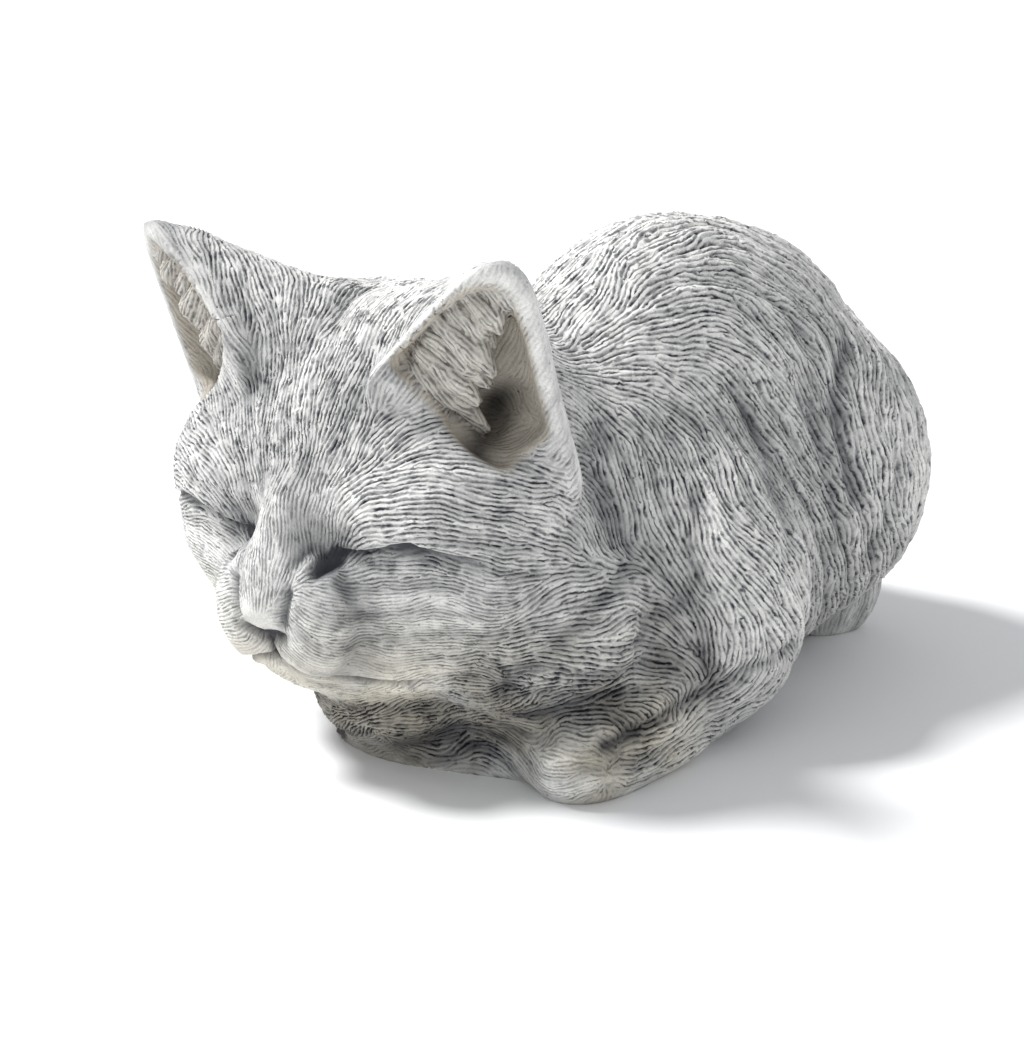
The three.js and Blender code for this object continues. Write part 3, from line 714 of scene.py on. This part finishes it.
def strand_profile(nodes, links, coords):
    """Height across the strands from their phase u in turns: a steep rise from the gap at u = 1/2
    to a flat crest, the gap's width and depth varied by noise."""
    strands = nodes.new("ShaderNodeUVMap")
    strands.uv_map = "strands"
    parts = nodes.new("ShaderNodeSeparateXYZ")
    links.new(strands.outputs["UV"], parts.inputs[0])

    def math_node(operation, *values):
        n = nodes.new("ShaderNodeMath")
        n.operation = operation
        for slot, value in zip(n.inputs, values):
            if isinstance(value, (int, float)):
                slot.default_value = value
            else:
                links.new(value, slot)
        return n.outputs[0]

    def uneven(scale, low, high):
        wobble = nodes.new("ShaderNodeTexNoise")
        wobble.inputs["Scale"].default_value = scale
        wobble.inputs["Detail"].default_value = 2
        links.new(coords.outputs["Object"], wobble.inputs["Vector"])
        spread = nodes.new("ShaderNodeMapRange")
        for name, value in (("From Min", 0.33), ("From Max", 0.67), ("To Min", low), ("To Max", high)):
            spread.inputs[name].default_value = value
        links.new(wobble.outputs["Fac"], spread.inputs["Value"])
        return spread.outputs["Result"]

    shift = uneven(620, -0.09, 0.09)
    turn = math_node("FRACT", math_node("ADD", parts.outputs["X"], shift))
    from_gap = math_node("ABSOLUTE", math_node("SUBTRACT", turn, 0.5))
    rise = nodes.new("ShaderNodeMapRange")
    rise.interpolation_type = "SMOOTHSTEP"
    rise.inputs["From Min"].default_value = 0.03
    links.new(uneven(240, 0.2, 0.58), rise.inputs["From Max"])
    links.new(from_gap, rise.inputs["Value"])
    depth = math_node("SUBTRACT", 1, rise.outputs["Result"])
    deep = math_node("MULTIPLY", parts.outputs["Y"], uneven(330, 0.5, 1.2))
    return math_node("SUBTRACT", 1, math_node("MULTIPLY", depth, deep))


def stone():
    """Grey cast concrete: its colour comes from the per-vertex colour and from the carving, which paints
    shade into the gaps between the strands and light onto their crests; its grain and pits come from fine
    noise, the pits painted darker as shade.
    """
    material = bpy.data.materials.new("cast concrete")
    material.use_nodes = True
    nodes, links = material.node_tree.nodes, material.node_tree.links
    shader = nodes["Principled BSDF"]
    coords = nodes.new("ShaderNodeTexCoord")
    tint_and_shade = nodes.new("ShaderNodeAttribute")
    tint_and_shade.attribute_name = "tint_and_shade"

    def textured(scale, detail, roughness=0.6):
        n = nodes.new("ShaderNodeTexNoise")
        n.inputs["Scale"].default_value = scale
        n.inputs["Detail"].default_value = detail
        n.inputs["Roughness"].default_value = roughness
        links.new(coords.outputs["Object"], n.inputs["Vector"])
        return n.outputs["Fac"]

    def mapped(source, a, b, low, high):
        n = nodes.new("ShaderNodeMapRange")
        for name, value in (("From Min", a), ("From Max", b), ("To Min", low), ("To Max", high)):
            n.inputs[name].default_value = value
        links.new(source, n.inputs["Value"])
        return n.outputs["Result"]

    def scaled(colour, factor):
        n = nodes.new("ShaderNodeVectorMath")
        n.operation = "SCALE"
        links.new(colour, n.inputs[0])
        links.new(factor, n.inputs["Scale"])
        return n.outputs["Vector"]

    grain = textured(1400, 3)
    patches = textured(90, 5)
    pits = nodes.new("ShaderNodeTexVoronoi")
    pits.inputs["Scale"].default_value = 420
    links.new(coords.outputs["Object"], pits.inputs["Vector"])
    pit_depth = mapped(pits.outputs["Distance"], 0.10, 0.22, 1.0, 0.0)
    few = mapped(textured(260, 2), 0.58, 0.64, 0.0, 1.0)
    pitted = nodes.new("ShaderNodeMath")
    pitted.operation = "MULTIPLY"
    links.new(pit_depth, pitted.inputs[0])
    links.new(few, pitted.inputs[1])
    hole = pitted.outputs[0]
    strand = strand_profile(nodes, links, coords)
    # Painted shade and light: the gaps between the strands are painted dark slate blue as shade, and their
    # crests painted lighter than their colour as light.
    groove_shade = nodes.new("ShaderNodeMix")
    groove_shade.data_type = "RGBA"
    groove_shade.inputs["A"].default_value = (0.075, 0.088, 0.118, 1)
    groove_shade.inputs["B"].default_value = (1.2, 1.2, 1.19, 1)
    links.new(strand, groove_shade.inputs["Factor"])
    groove_shaded_colour = nodes.new("ShaderNodeMix")
    groove_shaded_colour.data_type = "RGBA"
    groove_shaded_colour.blend_type = "MULTIPLY"
    groove_shaded_colour.inputs["Factor"].default_value = 1
    links.new(tint_and_shade.outputs["Color"], groove_shaded_colour.inputs["A"])
    links.new(groove_shade.outputs["Result"], groove_shaded_colour.inputs["B"])
    colour = scaled(groove_shaded_colour.outputs["Result"], mapped(grain, 0.3, 0.7, 0.86, 1.12))
    colour = scaled(colour, mapped(patches, 0.3, 0.7, 0.88, 1.1))
    # Painted shade in the pits: the colour there is darkened down to 0.45.
    colour = scaled(colour, mapped(hole, 0.0, 1.0, 1.0, 0.45))
    links.new(colour, shader.inputs["Base Color"])
    links.new(mapped(grain, 0.3, 0.7, 0.82, 0.97), shader.inputs["Roughness"])
    shader.inputs["Specular IOR Level"].default_value = 0.28

    def bumped(height, strength, distance, below=None, invert=False):
        n = nodes.new("ShaderNodeBump")
        n.invert = invert
        n.inputs["Strength"].default_value = strength
        n.inputs["Distance"].default_value = distance
        links.new(height, n.inputs["Height"])
        if below is not None:
            links.new(below, n.inputs["Normal"])
        return n.outputs["Normal"]

    ribs = bumped(strand, 0.8, 0.0009)
    fine = bumped(grain, 0.5, 0.00025, ribs)
    links.new(bumped(hole, 0.7, 0.0005, fine, invert=True), shader.inputs["Normal"])
    return material


def object_of(name, vertices, faces):
    """A new object of triangles, given in metres."""
    mesh = bpy.data.meshes.new(name)
    mesh.vertices.add(len(vertices))
    mesh.vertices.foreach_set("co", np.ascontiguousarray(vertices, np.float32).ravel())
    mesh.loops.add(faces.size)
    mesh.loops.foreach_set("vertex_index", faces.astype(np.int32).ravel())
    mesh.polygons.add(len(faces))
    mesh.polygons.foreach_set("loop_start", np.arange(0, faces.size, 3, dtype=np.int32))
    mesh.polygons.foreach_set("loop_total", np.full(len(faces), 3, np.int32))
    mesh.update(calc_edges=True)
    made = bpy.data.objects.new(name, mesh)
    bpy.context.scene.collection.objects.link(made)
    return made


def hollow_shade(p, normal):
    """How hollow the form is at each point, 0 to 1: how far the field at a height h falls short of h. It
    sets how much shade is painted into the hollows.
    """
    short = [np.clip(1 - chunked(figure, p + normal * h) / h, 0, 1) for h in (3.0, 9.0, 20.0)]
    return 0.3 * short[0] + 0.4 * short[1] + 0.3 * short[2]


def colours(p, locks_up, hollow, where, cut):
    """Colour of the crests: pale grey with real stains and dust, painted shade between the locks, in the
    hollows, the cuts and creases, under the chin and in the ear's deep pit, the muzzle painted lighter as
    light, beige in the ears.
    """
    pale = np.array([0.70, 0.695, 0.675])
    warm = np.array([0.43, 0.39, 0.33])
    slate = np.array([0.045, 0.048, 0.06])
    stain = noise(p, 26, 11) + 0.5 * noise(p, 9, 12)
    # Real stains from noise, and painted shade darkening the spaces between the locks.
    stain_and_shade = 0.1 * stain + 0.4 * (1 - locks_up) * smooth(noise(p, 34, 14), -0.6, 0.3)
    # Painted shade: darker in the hollows, in the carved cuts and creases, and on the chest under the chin;
    # a little darker where the fur is worn bare.
    stain_and_shade += 0.9 * hollow + 0.27 * np.clip(cut, 0, 3.2) + 0.3 * where["under_chin"] + 0.05 * where["bare"]
    # Stains on the paws; the muzzle and the nose bridge are painted lighter, as light on the nose plane.
    stain_and_shade += 0.3 * where["paws"] * smooth(stain, -0.3, 0.7) - 0.06 * where["muzzle"]
    stain_and_shade = np.clip(stain_and_shade, 0, 0.96)[:, None]
    out = pale + (slate - pale) * stain_and_shade
    dusty = smooth(p[:, 2], 80, 20) * smooth(p[:, 1], -10, -60) * smooth(stain, -0.9, 0.5)
    out *= 1 - dusty[:, None] * [0.05, 0.11, 0.24]
    inside = np.maximum(0.85 * where["in_ear"], 0.55 * where["locks"])[:, None]
    # Beige in the ears and on the locks; the deep pit of the ear hollow is painted almost black as shade.
    out = (out + (warm - out) * inside) * (1 - 0.92 * where["deep"][:, None])
    return np.clip(out, 0.02, 0.9)


def normals_at(p):
    """The unit gradient of the field at p."""
    _, normal = slope_of(p)
    return normal / np.maximum(np.linalg.norm(normal, axis=1), 1e-6)[:, None]


def sculpt():
    """The cast before its mesh is thinned: its smooth form, and how high its fur and face stand on it."""
    vertices, faces = nets(3.0)
    vertices = settle(vertices, 3)
    vertices, faces = refine(vertices, faces, edge_target, 5)
    normal = normals_at(vertices)
    strands = Fur(vertices, faces, strand_pitch, spread=2.15, wave=0.36, rounds=2)
    clumps = Fur(vertices, faces, clump_pitch, spread=4.4, wave=0.32, rounds=4)
    broad = Fur(vertices, faces, lock_pitch, spread=9.0, wave=0.22, rounds=8)
    return vertices, faces, normal, (strands, clumps, broad)


def carve(p, normal, fur):
    """Height of the carving at points of the smooth form, with what the material needs to know there."""
    where = regions(p, normal)
    phase, k, sure = fur[0].at_points(p, normal)
    clump_phase, _, clump_sure = fur[1].at_points(p, normal)
    lock_phase, _, lock_sure = fur[2].at_points(p, normal)
    clumps_up = crest(clump_phase, 1.8) * clump_sure + 0.6 * (1 - clump_sure)
    locks_up = crest(lock_phase, 1.3) * lock_sure + 0.5 * (1 - lock_sure)
    worn = [0.88 * where["bare"], 0.35 * where["ear_back"], 0.8 * where["rim"], 0.75 * where["in_ear"]]
    kept = 1 - np.max([*worn, where["under"]], axis=0)
    kept *= 1 - 0.4 * where["muzzle"] - 0.3 * where["locks"] * (1 - where["muzzle"])
    kept *= 1 + 0.3 * where["under_chin"]
    cut = face_cut(where["q"], where["head"])
    kept *= 1 - 0.85 * smooth(cut, 1.0, 2.6)
    uneven = 0.45 + 0.55 * smooth(noise(p, 2.2, 31) + 0.3 * noise(p, 6.0, 32), -0.6, 0.1)
    strength = kept * uneven * smooth(sure, 0.05, 0.3) * (0.8 + 0.35 * (1 - clumps_up))
    coarse = smooth(p[:, 1], -60, 40)
    height = (1.35 + 0.5 * coarse) * strength * (crest(phase, 1.4) - 0.62)
    height += kept * (0.45 + 0.55 * coarse) * (clumps_up - 0.6) * (1 - 0.5 * where["muzzle"])
    height += kept * (0.9 + 1.4 * coarse) * (1 - 0.5 * where["head"]) * (locks_up - 0.5)
    height += 0.6 * kept * noise(p, 13, 21)
    fold = creases(p)
    height -= cut + fold
    # Painted shade: between the clumps, and, through cut, in the face's cuts and the creases; this cut goes
    # only into the colour.
    between = (0.7 + 0.7 * coarse) * (1 - clumps_up) ** 2 * (1 - 0.6 * where["muzzle"])
    cut = cut + 0.8 * fold + kept * between
    height *= (1 - where["under"]) * smooth(p[:, 2], 0.0, 1.5)
    return height, phase, k, strength, locks_up, cut, where


def decimated(made, ratio):
    """The object with its mesh thinned to that share of its triangles."""
    modifier = made.modifiers.new("thin", "DECIMATE")
    modifier.ratio = ratio
    modifier.use_collapse_triangulate = True
    depsgraph = bpy.context.evaluated_depsgraph_get()
    mesh = bpy.data.meshes.new_from_object(made.evaluated_get(depsgraph))
    made.modifiers.clear()
    old = made.data
    made.data = mesh
    bpy.data.meshes.remove(old)
    return made


def corner_phases(p, faces, phase, k):
    """The phase in turns at each corner, unrolled over its triangle.
    The turns gained from corner a to corner b are the fraction that the phases give, plus the whole number
    that the mean wave vector foretells."""
    turns = phase / (2 * np.pi)
    wave = k / (2 * np.pi)
    a = faces[:, 0]
    corners = [turns[a]]
    for n in (1, 2):
        b = faces[:, n]
        foretold = ((wave[a] + wave[b]) / 2 * (p[b] - p[a])).sum(1)
        gained = turns[b] - turns[a]
        corners.append(turns[a] + gained + np.round(foretold - gained))
    return np.stack(corners, 1)


def nearest_of(made, points):
    """The number of the point nearest to each vertex of the object."""
    tree = KDTree(len(points))
    for n, v in enumerate(points.tolist()):
        tree.insert(v, n)
    tree.balance()
    return np.array([tree.find(v.co)[1] for v in made.data.vertices])


# The most triangles that the finished mesh may have.
TRIANGLES = {"full": 196000, "quick": 90000}


def cat():
    """The whole cast as one closed mesh, its fur and face carved in, under 200,000 triangles."""
    vertices, faces, normal, fur = sculpt()
    height = carve(vertices, normal, fur)[0]
    carved = vertices + normal * height[:, None]
    flat = vertices[:, 2] < UNDERSIDE
    carved[:, 2] = np.where(flat, vertices[:, 2], np.maximum(carved[:, 2], UNDERSIDE))
    carved = (carved + ORIGIN) / 1000
    made = object_of("cat_carved", carved, faces)
    most = TRIANGLES["full"]
    if len(faces) > most:
        made = decimated(made, most / len(faces))
    near = nearest_of(made, carved)
    place = np.empty(3 * len(near), np.float32)
    made.data.vertices.foreach_get("co", place)
    p = place.reshape(-1, 3) * 1000.0 - ORIGIN - normal[near] * height[near][:, None]
    triangles = np.empty(3 * len(made.data.polygons), np.int32)
    made.data.loops.foreach_get("vertex_index", triangles)
    triangles = triangles.reshape(-1, 3)
    _, phase, k, strength, locks_up, cut, where = carve(p, normal[near], fur)
    u = corner_phases(p, triangles, phase, k)
    layer = made.data.uv_layers.new(name="strands")
    layer.data.foreach_set("uv", np.stack([u, strength[triangles]], 2).astype(np.float32).ravel())
    # Colour of the crests, with real stains and painted shade in the hollows, the cuts and the creases.
    tint_and_shade = colours(p, locks_up, hollow_shade(p, normal[near]), where, cut)
    attribute = made.data.attributes.new("tint_and_shade", "FLOAT_COLOR", "POINT")
    tint_and_shade = np.concatenate([tint_and_shade, np.ones((len(tint_and_shade), 1))], 1)
    attribute.data.foreach_set("color", tint_and_shade.astype(np.float32).ravel())
    made.data.shade_smooth()
    made.data.materials.append(stone())
    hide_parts("cat")
    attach(made, "root")
    return made


def stage():
    """A pale floor that reaches 60 m each way."""
    floor = bpy.data.meshes.new("floor")
    s = 60.0
    floor.from_pydata([(-s, -s, 0), (s, -s, 0), (s, s, 0), (-s, s, 0)], [], [(0, 1, 2, 3)])
    ground = bpy.data.objects.new("floor", floor)
    bpy.context.scene.collection.objects.link(ground)
    paper = bpy.data.materials.new("pale paper")
    paper.use_nodes = True
    paper.node_tree.nodes["Principled BSDF"].inputs["Base Color"].default_value = (0.86, 0.86, 0.86, 1)
    paper.node_tree.nodes["Principled BSDF"].inputs["Roughness"].default_value = 0.9
    floor.materials.append(paper)


def sun(name, height, azimuth, power, soft):
    """A soft sun that stands at a height and an azimuth in degrees, the azimuth counted from +X to +Y."""
    light = bpy.data.lights.new(name, "SUN")
    light.energy, light.angle = power, math.radians(soft)
    made = bpy.data.objects.new(name, light)
    made.rotation_euler = (0, math.radians(90 - height), math.radians(azimuth))
    bpy.context.scene.collection.objects.link(made)


# The photo's camera: its focal length and the photo's longer side in pixels, and how far down it looks.
FOCAL_LENGTH = 1700
PHOTO_SIDE = 1053
LOOKS_DOWN = 18.45


def camera():
    """The photo's camera, which looks along -X and +Y in equal parts and a little down."""
    lens = bpy.data.cameras.new("camera")
    lens.sensor_width = 36
    lens.lens = lens.sensor_width * FOCAL_LENGTH / PHOTO_SIDE
    made = bpy.data.objects.new("camera", lens)
    made.location = (ORIGIN + EYE_POINT) / 1000
    made.rotation_euler = (math.radians(90 - LOOKS_DOWN), 0, math.radians(45))
    bpy.context.scene.collection.objects.link(made)
    bpy.context.scene.camera = made


def light():
    """A pale sky, seen as white behind the floor, and one soft sun."""
    world = bpy.data.worlds.new("studio")
    world.use_nodes = True
    nodes, links = world.node_tree.nodes, world.node_tree.links
    sky = nodes["Background"]
    sky.inputs["Color"].default_value = (0.95, 0.97, 1.0, 1)
    path = nodes.new("ShaderNodeLightPath")
    seen = nodes.new("ShaderNodeMix")
    seen.inputs["A"].default_value = 0.66
    seen.inputs["B"].default_value = 1.2
    links.new(path.outputs["Is Camera Ray"], seen.inputs["Factor"])
    links.new(seen.outputs["Result"], sky.inputs["Strength"])
    bpy.context.scene.world = world
    sun("key", height=52, azimuth=216, power=3.9, soft=12)
    bpy.context.scene.view_settings.view_transform = "Standard"


cat()
stage()
light()
camera()
